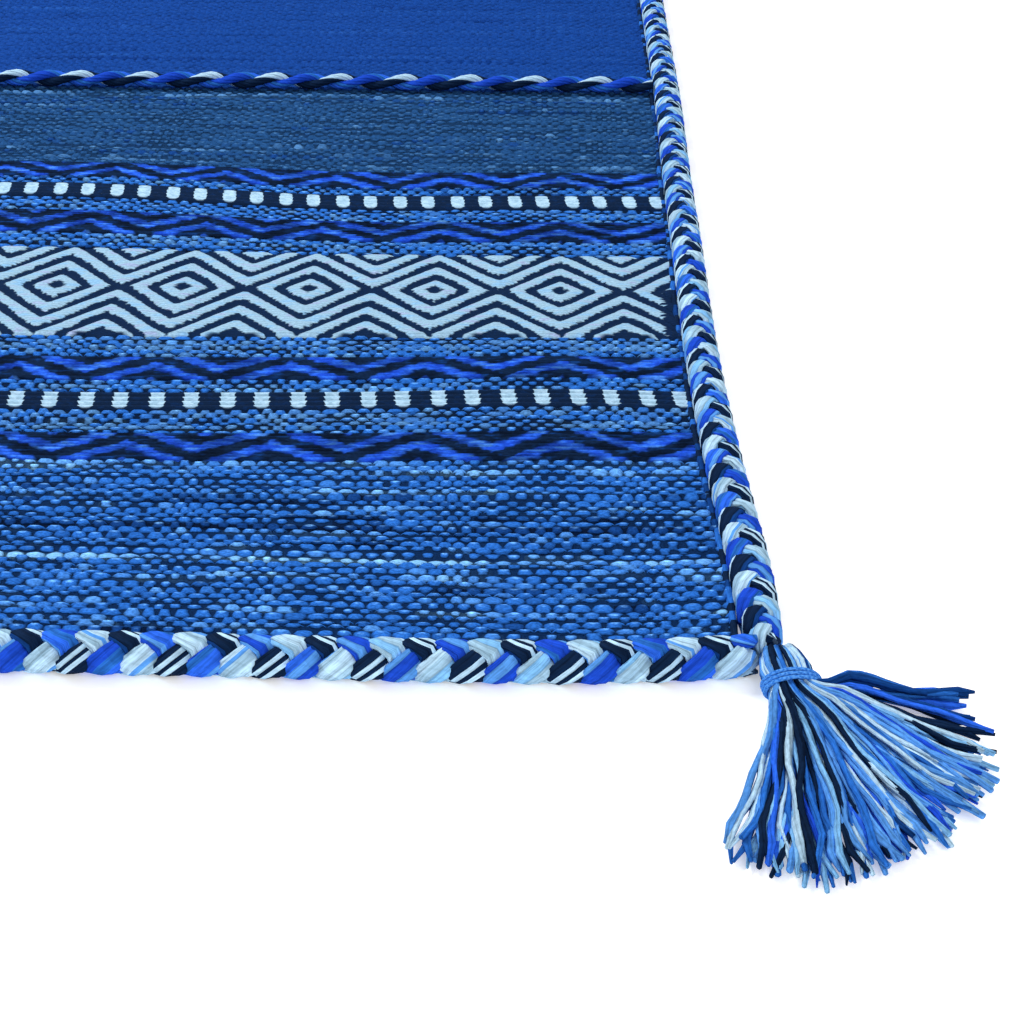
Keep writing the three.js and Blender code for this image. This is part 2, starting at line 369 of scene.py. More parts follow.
# Where the rows bow, as place across and along, amount, and spread across and along
BOWS = (
    (60, -352, 8.5, 90, 60),
    (200, -352, -3.6, 60, 50),
    (110, -530, -2.6, 70, 60),
    (290, -540, 5.0, 60, 60),
    (-220, -450, 4.0, 110, 90),
    (-120, 430, -5.0, 120, 80),
    (180, 380, 4.0, 100, 70),
    (-250, 560, 3.0, 80, 60),
)


def bow(x, y):
    """The rows of a hand-woven rug aren't quite straight: they wander by a few millimetres."""
    return sum(
        amount * np.exp(-(((x - across) / wide) ** 2) - ((y - along) / deep) ** 2)
        for across, along, amount, wide, deep in BOWS
    )


def cloth_points(u, v, z):
    """Cloth points in millimetres, from places across and along the straight cloth."""
    x, y = lay(u, v + bow(u, v))
    return np.stack([x, y, np.broadcast_to(z, np.shape(x))], -1).reshape(-1, 3)


def uneven(u, v, low, high):
    """Hand-beaten picks aren't even: rows pinch and swell, and so does the space between warps."""
    inside = np.clip(np.minimum(v - low, high - v) / 7, 0, 1)
    across = np.clip((CLOTH_HALF_WIDTH - np.abs(u)) / 20, 0, 1)
    rows = 0.42 * np.sin(v / 1.37 + 0.9 * np.sin(u / 41))
    rows = rows + 0.5 * np.sin(v / 2.3 + 1.4 * np.sin(u / 67 + v / 50))
    warps = 0.8 * np.sin(u / 4.7 + 0.6 * np.sin(v / 31)) + 0.9 * np.sin(u / 11.3)
    return u + warps * across, v + rows * inside


def bake_places(heap, u, v, top):
    """Places in the OFBake map: the top lies lower in it, the underside above."""
    start, end = heap.bake_span
    across = (np.ravel(u) + CLOTH_HALF_WIDTH) / (2 * CLOTH_HALF_WIDTH)
    along = (np.ravel(v) - start) / (end - start)
    return np.stack([across, along * 0.7 if top else 0.75 + 0.25 * along], -1)


def shut_strip(heap, rim, rim_u, rim_v):
    """Walls and a flat underside below a strip whose rim goes round anticlockwise."""
    first = heap.add_points(
        cloth_points(rim_u, rim_v, np.zeros(len(rim))),
        np.stack([rim_u / (2 * BEAD_HALF), rim_v / PICK], -1),
        bake_places(heap, rim_u, rim_v, False),
    )
    under = first + np.arange(len(rim))
    after = np.roll(np.arange(len(rim)), -1)
    heap.add_faces(np.stack([under, under[after], rim[after], rim], -1), DYES["navy"], 1, False)
    heap.add_faces(under[::-1][None, :], DYES["navy"], 1, False)
    heap.rims.append(rim)


def weave_plain(heap, low, high, tones, finish):
    """Bead rows between two places along the cloth. tones(rows, beads) gives a dye for each bead."""
    rows = max(2, int(round((high - low) / PICK)))
    pitch = (high - low) / rows
    line = np.arange(rows + 1)[:, None]
    column = np.arange(BEAD_COLUMNS + 1)[None, :]
    lean = np.where((line + column) % 2 == 1, -BEAD_OVERLAP, BEAD_OVERLAP)
    lean = np.where((line == 0) | (line == rows), 0, lean)
    foot_u = column * BEAD_HALF - CLOTH_HALF_WIDTH + 0 * line
    foot_v = low + line * pitch + lean
    foot_z = BEAD_FOOT + chance.normal(0, 0.12, foot_u.shape)
    settled_u, settled_v = uneven(foot_u, foot_v, low, high)
    foot = heap.add_points(
        cloth_points(settled_u, settled_v, foot_z),
        np.stack([(column + 0 * line).ravel() / 2, (line + lean / pitch + 0 * column).ravel()], -1),
        bake_places(heap, foot_u, foot_v, True),
    )
    index = foot + (line * (BEAD_COLUMNS + 1) + column)
    row, place = np.nonzero((np.arange(rows)[:, None] + np.arange(BEAD_COLUMNS + 1)[None, :]) % 2 == 1)
    has_left, has_right = place > 0, place < BEAD_COLUMNS
    row_lift = chance.normal(0, 0.18, rows)[row]
    crown = BEAD_TOP + row_lift + chance.normal(0, 0.2, len(row))
    middle_v = low + (row + 0.5) * pitch
    drift = chance.normal(0, 0.2, len(row))
    ridges = []
    for side in (place - RIDGE_HALF * has_left, place + RIDGE_HALF * has_right):
        ridge_u = side * BEAD_HALF - CLOTH_HALF_WIDTH
        settled = uneven(ridge_u, middle_v + drift, low, high)
        ridges.append(
            heap.add_points(
                cloth_points(*settled, crown),
                np.stack([side / 2, row + 0.5], -1),
                bake_places(heap, ridge_u, middle_v, True),
            )
            + np.arange(len(row))
        )
    peak_left, peak_right = ridges
    corners = (place - has_left, place, place + has_right)
    near_left, near, near_right = (index[row, corner] for corner in corners)
    far_left, far, far_right = (index[row + 1, corner] for corner in corners)
    everywhere = np.full(len(row), True)
    bead_dye = tones(row, place)
    for face, there in (
        ((near_left, near, peak_left), has_left),
        ((near, peak_right, peak_left), everywhere),
        ((near, near_right, peak_right), has_right),
        ((near_right, far_right, peak_right), has_right),
        ((far_right, far, peak_right), has_right),
        ((far, peak_left, peak_right), everywhere),
        ((far, far_left, peak_left), has_left),
        ((far_left, near_left, peak_left), has_left),
    ):
        heap.add_faces(np.stack(face, -1)[there], bead_dye[there], finish)
    # The rim, side by side: feet, and between them the peaks of the beads that are cut by the edge
    near_rim, far_rim = (np.stack([index[at], foot_u[at], foot_v[at]]) for at in (0, rows))
    side_rims = []
    for end, peaks in ((BEAD_COLUMNS, peak_right), (0, peak_left)):
        cut = place == end
        points = np.concatenate([index[:, end], peaks[cut]])
        places = np.concatenate([foot_v[:, end], low + (row[cut] + 0.5) * pitch])
        edge = np.full(len(points), foot_u[0, end])
        side_rims.append(np.stack([points, edge, places])[:, np.argsort(places, kind="stable")])
    right_rim, left_rim = side_rims
    parts = (near_rim[:, :-1], right_rim, far_rim[:, 1:-1][:, ::-1], left_rim[:, :0:-1])
    rim, rim_u, rim_v = np.concatenate(parts, axis=1)
    shut_strip(heap, rim.astype(int), rim_u, rim_v)


# %% [markdown]
# Brocade. In the patterned bands extra weft floats over the ground, so the surface is a fine grid. One
# function weaves any such band: a rule of the pattern gives each point its height, and the finish draws
# the pattern's colours from the thread map.
# %% Weave the floats
PATTERN_REPEAT = 50.4
PATTERN_CENTRE = 290.3
DIAMOND_HEART = 41.0
FLOAT_PICK = 2.1
GROUND = 3.3
DOT_WHITE = 5.5
DOT_SPOTS = (0.11, 0.35)
DOT_LEAN = 0.1
DOT_MIDDLE = 0.135
DOT_TALL = 0.118


def grid_lines(low, high, step):
    count = max(1, int(round((high - low) / step)))
    return np.linspace(low, high, count + 1)


def weave_floats(heap, across, along, height, finish):
    """A grid band. height(u, v) raises its points, and the finish draws the pattern from the thread map."""
    u, v = np.meshgrid(across, along)
    z = height(u, v)
    z[0, :], z[-1, :] = BEAD_FOOT, BEAD_FOOT
    first = heap.add_points(
        cloth_points(u, v, z),
        np.stack([u.ravel() - PATTERN_CENTRE, v.ravel() - along[0]], -1) / PATTERN_REPEAT,
        bake_places(heap, u, v, True),
    )
    columns, rows = len(across), len(along)
    index = first + np.arange(columns * rows).reshape(rows, columns)
    quads = np.stack([index[:-1, :-1], index[:-1, 1:], index[1:, 1:], index[1:, :-1]], -1).reshape(-1, 4)
    heap.add_faces(quads, DYES["ice"], finish)
    rim = np.concatenate([index[0, :-1], index[:-1, -1], index[-1, :0:-1], index[:0:-1, 0]])
    shut_strip(heap, rim, u.ravel()[rim - first], v.ravel()[rim - first])


def pick_dye(share, *dyes):
    """Mixes dyes by a share from 0 to 1 spread over them."""
    stops = np.stack([DYES[d] for d in dyes])
    place = np.clip(share, 0, 1) * (len(dyes) - 1)
    low = np.minimum(np.floor(place).astype(int), len(dyes) - 2)
    part = (place - low)[..., None]
    return stops[low] * (1 - part) + stops[low + 1] * part


def from_centre(u):
    """Distance across to the nearest column of diamonds."""
    return np.abs((u - PATTERN_CENTRE + PATTERN_REPEAT / 2) % PATTERN_REPEAT - PATTERN_REPEAT / 2)


def diamond_height(low):
    """Raised light bars between sunk black lines, in nested diamonds."""

    def height(u, v):
        ring = (from_centre(u) + np.abs(v - low - DIAMOND_HEART)) / (PATTERN_REPEAT / 4)
        off = np.abs(ring - np.round(ring))
        puff = np.sqrt(np.clip(1 - ((0.5 - off) / 0.36) ** 2, 0, 1))
        return GROUND + 0.3 + 1.1 * puff

    return height


def ridge_height(low, pick, rise):
    """Each pick of floats is a low ridge."""

    def height(u, v):
        within = (v - low) / pick % 1 - 0.5
        return GROUND + 0.2 + rise * np.clip(1 - (2 * within) ** 2, 0, 1)

    return height


# %% [markdown]
# The bands of one end, from the edging's seam inwards, with their depths in millimetres. The far end has
# the same bands in mirrored order. Marled bands differ in tone: clear blue near the end, grey sky between
# the patterns, and a dusky blue next to the cord.
# %% Set out the bands
END_BANDS = (
    ("sea", 107.2),
    ("chevrons", 18.5),
    ("haze", 17.1),
    ("dots", 12.8),
    ("haze", 10.5),
    ("chevrons", 17.0),
    ("haze", 17.3),
    ("diamonds", 76.0),
    ("haze", 15.0),
    ("chevrons", 20.2),
    ("haze", 14.8),
    ("dots", 14.5),
    ("haze", 9.0),
    ("chevrons", 17.5),
    ("dusk", 107.6),
)
MARLS = {
    "sea": (("navy", "mid", "mid", "sky", "aqua"), 0.4, 0.17, 0.1),
    "haze": (("navy", "mid", "mid", "steel", "sky"), 0.44, 0.15, 0.12),
    "dusk": (("navy", "dusk", "dusk", "dusk", "steel"), 0.45, 0.16, 0.1),
    "field": (("deep_field", "field", "field", "light_field"), 0.5, 0.13, 0.05),
}
PLAIN_FINISHES = {"sea": 0, "haze": 5, "dusk": 6, "field": 7}


def marl(kind):
    """Dyes for the beads of a marled band: each row has its own tone, which drifts along the yarn."""
    dyes, middle, by_row, by_bead = MARLS[kind]

    def tones(row, place):
        rows = row.max() + 1
        row_tone = chance.normal(0, by_row, rows)
        knots = chance.normal(0, by_row * 0.8, (rows, 26))
        along = place / BEAD_COLUMNS * 24
        low = along.astype(int)
        drift = knots[row, low] * (1 - along + low) + knots[row, low + 1] * (along - low)
        return pick_dye(middle + row_tone[row] + drift + chance.normal(0, by_bead, len(row)), *dyes)

    return tones


def weave_band(heap, kind, low, high):
    if kind in MARLS:
        weave_plain(heap, low, high, marl(kind), PLAIN_FINISHES[kind])
        return
    across = grid_lines(-CLOTH_HALF_WIDTH, CLOTH_HALF_WIDTH, 2.0)
    if kind == "diamonds":
        across = grid_lines(-CLOTH_HALF_WIDTH, CLOTH_HALF_WIDTH, PATTERN_REPEAT / 28)
        weave_floats(heap, across, grid_lines(low, high, 1.5), diamond_height(low), 3)
    elif kind == "dots":
        pick = (high - low) / 4
        weave_floats(heap, across, grid_lines(low, high, pick / 3), ridge_height(low, pick, 1.1), 2)
    else:
        pick = (high - low) / round((high - low) / FLOAT_PICK)
        weave_floats(heap, across, grid_lines(low, high, pick / 2), ridge_height(low, pick, 0.9), 4)


# %% [markdown]
# Cotton cloth. Its finish reads the dye of each bead and the map that counts threads, rounds every bead
# off, paints shade into the gaps between them and a pale highlight on some bead tops, and adds the fine
# fibres that catch the light.
# %% Finish the plain weave


def fibres(place, along, across, seed):
    """Fine streaks that run along the yarn."""
    stretch, shift = (along, across, 1.0), (seed, seed * 0.7, 0.0)
    stretched = Wire.join(place.tree, "VectorMath", {"operation": "MULTIPLY"}, {0: place, 1: stretch})
    moved = Wire.join(place.tree, "VectorMath", {"operation": "ADD"}, {0: stretched, 1: shift})
    inputs = {"Vector": moved, "Scale": 1.0, "Detail": 2.0}
    return Wire.join(place.tree, "TexNoise", {"noise_dimensions": "2D"}, inputs)


def choose(share, first, second):
    """The first colour where the share is 0, the second where it is 1. Each is a dye's name or a wire."""

    def colour(choice):
        return choice if isinstance(choice, Wire) else (*DYES[choice], 1)

    # A Mix node's two colours are its sockets 6 and 7, and its colour output is number 2
    inputs = {0: share, 6: colour(first), 7: colour(second)}
    return Wire.join(share.tree, "Mix", {"data_type": "RGBA"}, inputs, 2)


def raise_by(shader, strength, depth, height):
    """A bump of so many millimetres on the shader's normal."""
    inputs = {"Strength": strength, "Distance": depth * MM, "Height": height}
    plug(Wire.join(height.tree, "Bump", inputs=inputs), shader, "Normal")


def plain_weave_finish(name, gap_shade, top_highlight, smallest):
    """The numbers are the brightness of the painted shade in the gaps between beads, the strength of the
    painted highlight on their tops, and the least bead's size.
    """
    material, shader = new_finish(name)
    threads, bead, pick = read_map(shader)
    row = pick.floor()
    size = fibres(threads, 0.16, 1.1, 8.0).between(0.36, 0.64, smallest, 1.12)
    up = pick - row - 0.5
    sideways = (bead + row % 2 * 0.5).off_middle()
    own = 1 - (sideways * 2 / size) ** 2.4 - (abs(up) / (size * 0.6)) ** 2
    other = 1 - ((0.5 - sideways) * 2 / size) ** 2.4 - ((1 - abs(up)) / (size * 0.6)) ** 2
    dome = own.greatest(other).greatest(0.0)
    streak = fibres(threads, 5.0, 9.0, 3.1)
    # Painted shade: the beads are brightest on top and fall to the gap level in the gaps between them,
    # times the yarn's own streaks.
    tone_and_shade = dome.between(0.0, 0.8, gap_shade, 1.05) * streak.between(0.3, 0.7, 0.75, 1.2)
    # Painted highlight: a pale aqua spot on the upper part of some bead tops, where the light catches them.
    highlight_spot = 1 - (sideways / 0.3) ** 2 - ((up - 0.1) / 0.27) ** 2
    patch = fibres(threads, 0.5, 0.9, 6.0).between(0.4, 0.66)
    pale = highlight_spot.greatest(0.0) * patch * streak.between(0.35, 0.6, 0.4, 1.0)
    lit = {0: shaded(read_dye(shader), tone_and_shade), 1: shaded(tuple(DYES["aqua"] * top_highlight), pale)}
    plug(Wire.join(tone_and_shade.tree, "VectorMath", {"operation": "ADD"}, lit), shader, "Base Color")
    raise_by(shader, 1.0, 0.4 + top_highlight, dome**0.5 + streak * 0.2)
    return material


def underside_finish():
    material, shader = new_finish("underside", 0.1)
    threads = read_map(shader)[0]
    streak = fibres(threads, 0.5, 1.0, 5.0)
    bead = fibres(threads, 2.0, 2.0, 9.0)
    tone = streak.between(0.35, 0.65) * 0.6 + bead.between(0.35, 0.65) * 0.4
    plug(choose(tone, "navy", "mid"), shader, "Base Color")
    raise_by(shader, 0.8, 0.8, bead)
    return material


def off_pick(along, pick):
    """How far a place is from the middle of its pick, as a share of the pick."""
    return (along * (PATTERN_REPEAT / pick)).off_middle()


def worked_lines(across, along, pick, depth):
    """A float ends between two warps, so each pick moves a border a little to and fro."""
    return across + (off_pick(along, pick) - 0.25) * (depth / PATTERN_REPEAT)


def close_finish(shader, colour, height, strength):
    plug(colour, shader, "Base Color")
    raise_by(shader, strength, 0.8, height)


def dotted_finish():
    """Rounded pale spots on black, two to each half repeat. Each leans a little to the left."""
    material, shader = new_finish("dotted_brocade")
    place, across, along = read_map(shader)
    pick = 3.4
    worked = across + (along - DOT_MIDDLE) * DOT_LEAN
    spot = None
    for at in DOT_SPOTS:
        off = abs((worked - at + 0.25) % 0.5 - 0.25)
        spot = off if spot is None else spot.least(off)
    wander = (fibres(place, 30.0, 60.0, 2.0) - 0.5) * 0.012
    edge = (worked_lines(spot, along, pick, 1.6) + wander) * (PATTERN_REPEAT / DOT_WHITE * 2)
    level = abs(along - DOT_MIDDLE) / DOT_TALL
    inside = (edge.greatest(0.0) ** 4 + level**5).between(1.25, 0.8)
    tone = fibres(place, 14.0, 40.0, 5.0)
    pale = choose(tone.between(0.4, 0.6), "white", "ice")
    dark = choose(tone.between(0.5, 0.7, 0.0, 0.2), "black", "navy")
    streak = fibres(place, 40.0, 160.0, 1.7)
    ridge = off_pick(along, pick) * 2
    # Painted shade: each pick darkens towards its edges, where it meets the next, times the yarn's own
    # streaks.
    tone_and_shade = streak.between(0.3, 0.7, 0.8, 1.0) * ridge.between(1.0, 0.5, 0.75, 1.0)
    colour = shaded(choose(inside, dark, pale), tone_and_shade)
    close_finish(shader, colour, inside * 0.6 + streak * 0.25, 0.7)
    return material


def diamond_finish():
    """Nested diamonds, drawn by the distance from each one's heart, across plus along."""
    material, shader = new_finish("diamond_brocade")
    place, across, along = read_map(shader)
    pick = 1.5
    worked = worked_lines(across, along, pick, 0.5) + (fibres(place, 3.0, 8.0, 5.0) - 0.5) * 0.035
    folded = (worked + 0.5).off_middle()
    rounded = folded * 0.74 + (1 - (folded * (2 * np.pi)).cosine()) * 0.065
    from_heart = abs(along - DIAMOND_HEART / PATTERN_REPEAT)
    softened = (from_heart * from_heart + 0.0004) ** 0.5
    ring = (rounded + softened) * 4 + (fibres(place, 14.0, 34.0, 4.0) - 0.5) * 0.22
    off = (ring + 0.5).off_middle()
    black = off.between(0.25, 0.18).greatest(ring.between(0.36, 0.26))
    low_edge = along.between(0.035, 0.02) * ring.between(4.3, 4.6)
    middle = -(PATTERN_CENTRE / PATTERN_REPEAT)
    rim = abs(across - middle) + (fibres(place, 1.0, 30.0, 2.0) - 0.5) * 0.16
    turned = rim.between(6.55, 6.57) * along.between(0.86, 0.84)
    tone = fibres(place, 5.0, 20.0, 7.0)
    light = choose(tone.between(0.5, 0.72, 0.0, 0.55), "ice", "aqua")
    light = choose(tone.between(0.4, 0.28, 0.0, 0.7), light, "lilac")
    ridge = off_pick(along, pick) * 2
    streak = fibres(place, 40.0, 130.0, 1.7)
    # Painted shade: the light floats darken towards the edges of each pick, times the yarn's own streaks.
    lit = shaded(light, streak.between(0.3, 0.7, 0.76, 1.0) * ridge.between(1.0, 0.4, 0.8, 1.0))
    dark = choose(streak.between(0.5, 0.75, 0.0, 0.2), "black", "navy")
    colour = choose(black.greatest(turned).greatest(low_edge), lit, dark)
    close_finish(shader, colour, (1 - black) * 1.0 + (1 - ridge) * 0.2 + streak * 0.25, 0.7)
    return material


def chevron_finish():
    """Waves of black and cobalt floats that wander as hand-set floats do, with painted shade where they
    dive between picks and along the blue waves' edges.
    """
    material, shader = new_finish("chevron_brocade")
    place, across, along = read_map(shader)
    worked = worked_lines(across, along, FLOAT_PICK, 1.6)
    from_valley = 0.5 - (worked + 0.5).off_middle()
    from_valley = from_valley * 0.86 + (1 - (from_valley * (2 * np.pi)).cosine()) * 0.035
    wander = fibres(place, 7.0, 14.0, 2.5) - 0.5
    wave = (along - from_valley * 0.57) * (PATTERN_REPEAT / 12) + 1 / 12 + wander * 0.36
    line = (wave + 0.3).off_middle()
    blue_share = line.between(0.21, 0.3)
    tone = fibres(place, 6.0, 30.0, 9.0)
    blue = choose(tone.between(0.36, 0.6), "royal", "cobalt")
    blue = choose(tone.between(0.58, 0.72, 0.0, 0.6), blue, "sky")
    dark = choose(tone.between(0.45, 0.3, 0.0, 0.7), "black", "navy")
    ridge = (along * (PATTERN_REPEAT / FLOAT_PICK) + wander).off_middle() * 2
    streak = fibres(place, 36.0, 120.0, 1.7)
    patch = fibres(place, 4.0, 9.0, 13.0).between(0.35, 0.6, 0.5, 1.05)
    # Painted shade: the blue floats darken towards their edges, where they round down to the black.
    puff = line.between(0.2, 0.42, 0.55, 1.0)
    # Painted shade: the floats darken where one pick meets the next, times the yarn's own streaks and
    # patches.
    tone_and_shade = streak.between(0.3, 0.7, 0.8, 1.12) * (1 - ridge**3 * 0.45) * patch
    colour = shaded(choose(blue_share, dark, shaded(blue, puff)), tone_and_shade)
    close_finish(shader, colour, blue_share * 0.6 + (1 - ridge**2) * 0.5 + streak * 0.2, 0.8)
    return material


cloth_finishes = [
    plain_weave_finish("sea_weave", 0.14, 0.9, 0.68),
    underside_finish(),
    dotted_finish(),
    diamond_finish(),
    chevron_finish(),
    plain_weave_finish("haze_weave", 0.08, 0.85, 0.7),
    plain_weave_finish("dusk_weave", 0.5, 0.35, 0.6),
    plain_weave_finish("field_weave", 0.8, 0.06, 0.8),
]

# %% [markdown]
# The cloth is woven in sections that meet under the cords and between bands, so that no mesh grows too
# heavy. They share one rule for every point, and so they meet exactly.
# %% Weave the cloth
SECTIONS = (("near", 0, 1), ("patterned", 1, 14), ("far", 14, 15))


def weave_section(name, bands):
    """bands holds (kind, low, high) in order along the cloth."""
    start, end = bands[0][1], bands[-1][2]
    heap = Heap(bake_span=(start, end))
    for kind, low, high in bands:
        weave_band(heap, kind, low, high)
    made = heap.piece(name, cloth_finishes, ["kilim_cloth"])
    (end - start) * MM


edges = -CLOTH_HALF_LENGTH + np.concatenate([[0], np.cumsum([depth for _, depth in END_BANDS])])
for part, first, last in SECTIONS:
    bands = [(END_BANDS[i][0], edges[i], edges[i + 1]) for i in range(first, last)]
    weave_section(f"cloth_front_{part}", bands)
    weave_section(f"cloth_back_{part}", [(kind, -high, -low) for kind, low, high in reversed(bands)])
weave_section("cloth_field", [("field", edges[-1], -edges[-1])])

# %% [markdown]
# Yarn. A strand of the edging, a ply of the cord and a yarn of a tassel are all closed tubes round a path.
# Small hollows along a strand part it into the yarns it is laid from, and each yarn has its own dye.
# %% Lay a yarn along a path


def lay_unevenly(points):
    points[..., 0], points[..., 1] = lay(points[..., 0], points[..., 1])
    return points


def as_drawn(points):
    return points


def lay_yarn(heap, path, section, per_yarn, turns, dyes, bake_row, hollow=0.14, shape=lay_unevenly):
    """One closed tube. Its section is an outward and an upward direction and a half size along each. dyes
    has a colour for each face round it, and shape moves the finished points to where the rug has them."""
    out, up, wide, tall = section
    rings, sides = len(path), dyes.shape[-2]
    side = np.arange(sides)
    angle = 2 * np.pi * (side / sides)[None, :] + 2 * np.pi * np.asarray(turns)[:, None]
    swell = 1 - hollow * (1 - np.sin(np.pi * (side % per_yarn) / per_yarn))
    points = path[:, None, :] + (wide[:, None] * np.cos(angle) * swell)[..., None] * out[:, None, :]
    points = points + (tall[:, None] * np.sin(angle) * swell)[..., None] * up[:, None, :]
    points = shape(points)
    points[..., 2] = np.maximum(points[..., 2], 0)
    length = np.concatenate([[0], np.cumsum(np.linalg.norm(np.diff(path, axis=0), axis=1))])
    low, high = bake_row

    def maps(ring, j):
        thread = np.stack([length[ring] / 10, j / per_yarn], -1)
        bake = np.stack([length[ring] / length[-1], low + (high - low) * j / sides], -1)
        return thread.reshape(-1, 2), bake.reshape(-1, 2)

    ring, j = np.meshgrid(np.arange(rings), side, indexing="ij")
    first = heap.add_points(points.reshape(-1, 3), *maps(ring, j))
    index = first + np.arange(rings * sides).reshape(rings, sides)
    after = np.roll(index, -1, axis=1)
    quads = np.stack([index[:-1], index[1:], after[1:], after[:-1]], -1).reshape(-1, 4)
    corner_ring = np.stack([ring[:-1], ring[1:], ring[1:], ring[:-1]], -1).reshape(-1)
    corner_side = np.stack([j[:-1], j[:-1], j[:-1] + 1, j[:-1] + 1], -1).reshape(-1)
    every = np.broadcast_to(dyes, (rings - 1, sides, 3)).reshape(-1, 3)
    heap.add_faces(quads, every, 0, True, maps(corner_ring, corner_side))
    heap.add_faces(index[0][None, :], every[:sides].mean(0), 0, False)
    heap.add_faces(index[-1][::-1][None, :], every[-sides:].mean(0), 0, False)


def yarn_finish(name, streak_length):
    """Soft cotton yarn: fibres wound round it, painted shade in the hollows between yarns and the grooves
    between fibres, and a matt surface.
    """
    material, shader = new_finish(name)
    place, along, around = read_map(shader)
    hollow = (around.off_middle() * 2) ** 3
    wound = (along * 4.2 + around * 0.8).off_middle() * 2
    streak = fibres(place, streak_length, 7.0, 1.3)
    # Painted shade: darker in the hollows between yarns and in the grooves of the wound fibres, times the
    # yarn's own streaks.
    tone_and_shade = streak.between(0.3, 0.7, 0.8, 1.12) * (1 - hollow * 0.3) * (1 - wound**4 * 0.12)
    plug(shaded(read_dye(shader), tone_and_shade), shader, "Base Color")
    raise_by(shader, 0.8, 0.6, (1 - hollow) * 0.7 + (1 - wound**2) * 0.2 + streak * 0.5)
    return material


def runs(*pairs):
    """Dyes round a strand, from names and how many faces each takes."""
    return np.concatenate([np.tile(DYES[name], (count, 1)) for name, count in pairs])


strand_finish = yarn_finish("strand_cotton", 2.2)

# %% [markdown]
# The edging is a flat three-strand plait. Each strand swings from side to side once for every two dips
# over and under, a figure of eight seen from its end, and the three follow one another a third apart.
# A strand's flat face looks up on top of the plait and outwards where it goes round a rim.
# %% Plait the edging
PLAIT_PERIOD = 28.0
PLAIT_STEPS = 15
PLAIT_SWING = 4.35
PLAIT_DIP = 3.3
PLAIT_ROLL = np.radians(78)
PLAIT_MIDDLE = 5.65
STRAND_WIDE = 4.9
STRAND_TALL = 2.8
SEAM_YARN = 1.5
TASSEL_LAP = 9.0
STRANDS = {
    "black": runs(("black", 4), ("white", 1), ("black", 1), ("white", 1), ("black", 8), ("navy", 3)),
    "ice": runs(("ice", 2), ("white", 3), ("ice", 2), ("sky", 1), ("white", 3), ("ice", 4), ("aqua", 3)),
    "blue": runs(("royal", 3), ("sky", 2), ("cobalt", 3), ("mid", 2), ("royal", 5), ("sky", 3)),
}
END_PLAIT_HALF = HALF_WIDTH - EDGING + 4.2
SIDE_PLAIT_HALF = HALF_LENGTH - TASSEL_LAP
# Each side: its direction and outward direction, its half length and rim, a place where its black strand is
# outermost, how far it leans outwards in degrees, and how much it gathers towards the tassels
PLAITS = {
    "front": ((1, 0), (0, -1), END_PLAIT_HALF, HALF_LENGTH, 257.1, 38, 0),
    "right": ((0, 1), (1, 0), SIDE_PLAIT_HALF, HALF_WIDTH, -610.2, 0, 1),
    "back": ((-1, 0), (0, 1), END_PLAIT_HALF, HALF_LENGTH, 100.0, 38, 0),
    "left": ((0, -1), (-1, 0), SIDE_PLAIT_HALF, HALF_WIDTH, 40.0, 0, 1),
}
UPWARD = np.array([0.0, 0.0, 1.0])


def unit(vectors):
    return vectors / np.linalg.norm(vectors, axis=1)[:, None]


def pressed(points, outward, middle):
    """Strands pressed into one rounded outline, as in a tight plait, then laid unevenly."""
    aside = (points @ outward - middle)[..., None]
    above = points[..., 2:] - PLAIT_MIDDLE
    reach = (abs(aside / (EDGING / 2)) ** 3 + abs(above / PLAIT_MIDDLE) ** 3) ** (1 / 3) + 1e-6
    kept = np.where(reach > 0.8, 0.8 + 0.2 * np.tanh((reach - 0.8) / 0.2), reach) / reach
    return lay_unevenly(points + (kept - 1) * (aside * outward + above * UPWARD))


def sew_on(heap, along, outward, half, rim):
    """The dark sewing yarn between the cloth and the plait. Its dark dyes are the yarn's own and also stand
    in as painted shade for the shadowed seam.
    """
    s = np.linspace(-half, half, int(round(half / 2.2)))
    bite = np.sin(s * 1.37) + 0.6 * np.sin(s * 0.61)
    path = s[:, None] * along + (rim - EDGING - 0.4 - 0.25 * bite)[:, None] * outward
    path = path + (2.9 + 0.35 * bite)[:, None] * UPWARD
    # The stitches' dark dyes are partly the yarn's own and partly painted shade for the seam between cloth
    # and plait.
    stitches = [DYES[("navy", "black", "mid", "black")[k]] for k in chance.integers(0, 4, len(s) - 1)]
    dyes = np.repeat(np.array(stitches)[:, None, :], 6, axis=1)
    thick = np.full(len(s), SEAM_YARN)
    out, up = np.broadcast_to(outward, path.shape), np.broadcast_to(UPWARD, path.shape)
    lay_yarn(heap, path, (out, up, thick, thick * 1.4), 3, 0 * s, dyes, (0.76, 0.99))


